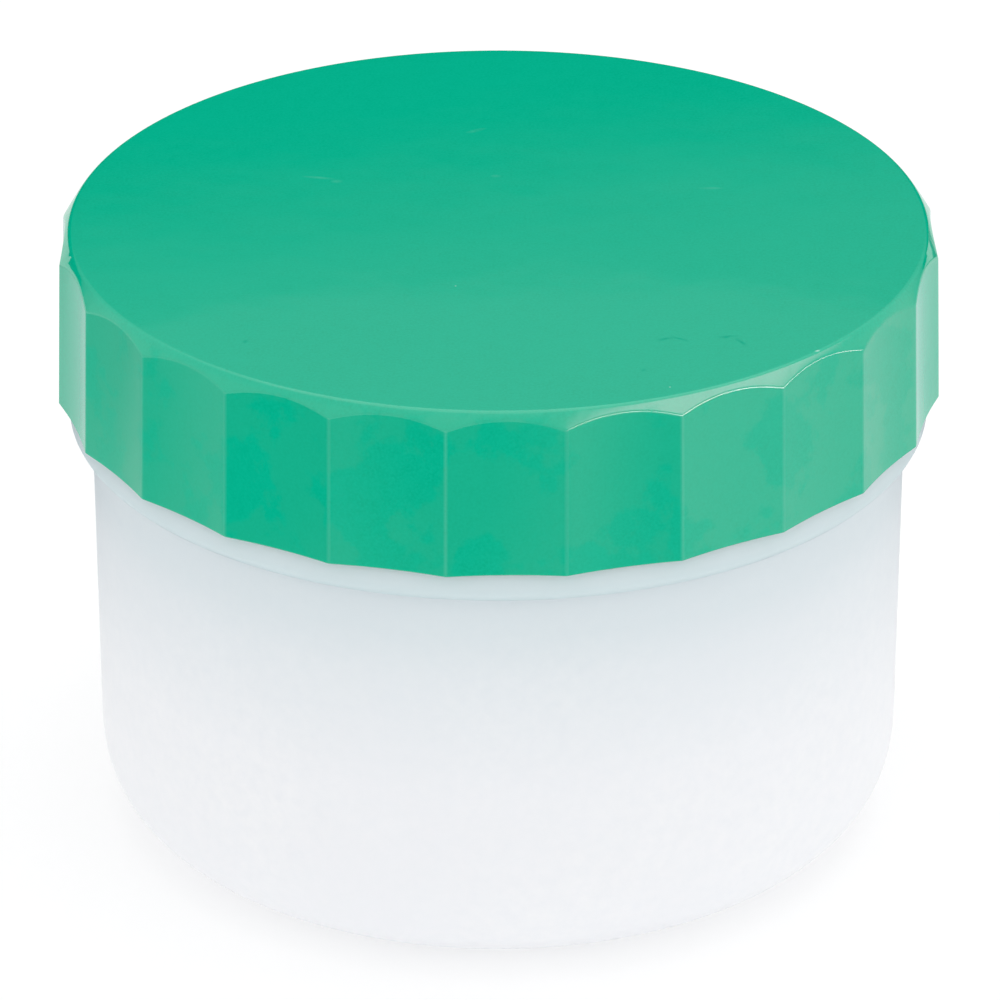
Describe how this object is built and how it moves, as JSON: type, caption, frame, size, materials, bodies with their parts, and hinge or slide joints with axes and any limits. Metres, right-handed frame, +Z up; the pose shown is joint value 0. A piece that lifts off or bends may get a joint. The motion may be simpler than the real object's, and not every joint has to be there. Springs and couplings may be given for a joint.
{
  "type": "paint jar",
  "caption": "Small round plastic paint jar with a rounded bottom, a threaded neck and a fluted screw cap lined with a sealing wad.",
  "frame": {"origin": "centre of the base, on the surface the jar stands on", "axes": "+Z up along the jar's axis, out through the mouth and the cap; +X and +Y are level, and the jar is round, so only the cap's flutes and the thread starts tell them apart"},
  "size_m": [0.0698, 0.0698, 0.0509],
  "materials": {
    "jar": "milky, slightly translucent moulded polypropylene with a satin surface",
    "cap": "green moulded polypropylene, soft gloss, a few faint scuffs on the top",
    "liner": "white closed-cell polyethylene foam"
  },
  "bodies": {
    "jar": {"jar_body": "jar"},
    "liner": {"cap_liner": "liner"},
    "cap": {"screw_cap": "cap"}
  },
  "joints": [
    {"name": "cap_rise", "type": "slide", "parent": "jar", "child": "liner", "axis": [0, 0, 1], "range_m": [0, 0.0189]},
    {"name": "cap_turn", "type": "hinge", "parent": "liner", "child": "cap", "pos_m": [0, 0, 0.0374], "axis": [0, 0, 1], "range_deg": [0, 1620]}
  ],
  "couplings": [
    {"joint": "cap_rise", "follows": "cap_turn", "m_per_rad": 0.00066845}
  ]
}
